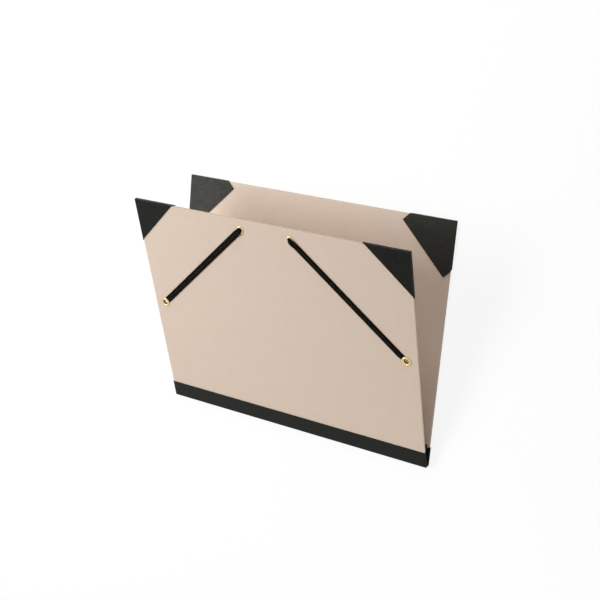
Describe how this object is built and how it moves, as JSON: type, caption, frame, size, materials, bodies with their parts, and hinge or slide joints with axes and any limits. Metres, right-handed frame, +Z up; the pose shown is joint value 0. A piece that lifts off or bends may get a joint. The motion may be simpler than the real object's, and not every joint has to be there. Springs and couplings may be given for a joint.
{
  "type": "drawing folder",
  "caption": "Flat drawing folder: two pasteboard covers joined by a black cloth spine, with cloth corners and elastic straps in brass eyelets.",
  "frame": {"origin": "under the middle of the whole, on the surface that the back cover lies on", "axes": "+X along the spine, +Y from the spine towards the free edges of the covers, +Z up; the back cover lies flat and the front cover stands open above it"},
  "size_m": [0.3314, 0.2642, 0.1031],
  "materials": {
    "board": "matt uncoated kraft pasteboard, beige with a pink cast, cream at the cut edges",
    "cloth": "black book cloth, fine grain, slight sheen",
    "lining": "black book cloth, fine grain",
    "elastic": "flat woven elastic, black",
    "brass": "bright rolled eyelets",
    "steel": "plain crimped bar"
  },
  "bodies": {
    "back_cover": {"back_board": "board", "spine_cloth_back": "cloth", "spine_lining_back": "lining", "corner_back_left": "cloth", "corner_back_right": "cloth"},
    "spine": {"spine_cloth_middle": "cloth"},
    "front_cover": {"front_board": "board", "spine_cloth_front": "cloth", "spine_lining_front": "lining", "corner_front_left": "cloth", "corner_front_right": "cloth", "eyelet_upper_left": "brass", "eyelet_upper_right": "brass", "eyelet_lower_left": "brass", "eyelet_lower_right": "brass", "elastic_left": "elastic", "elastic_right": "elastic", "cross_bar_left": "steel", "cross_bar_right": "steel"}
  },
  "joints": [
    {"name": "back_fold", "type": "hinge", "parent": "back_cover", "child": "spine", "pos_m": [0, -0.13064, 0.0002], "axis": [1, 0, 0], "range_deg": [-10.2, 79.1]},
    {"name": "front_fold", "type": "hinge", "parent": "spine", "child": "front_cover", "pos_m": [0, -0.13194, 0.00708], "axis": [1, 0, 0], "range_deg": [-10.2, 79.1]}
  ]
}
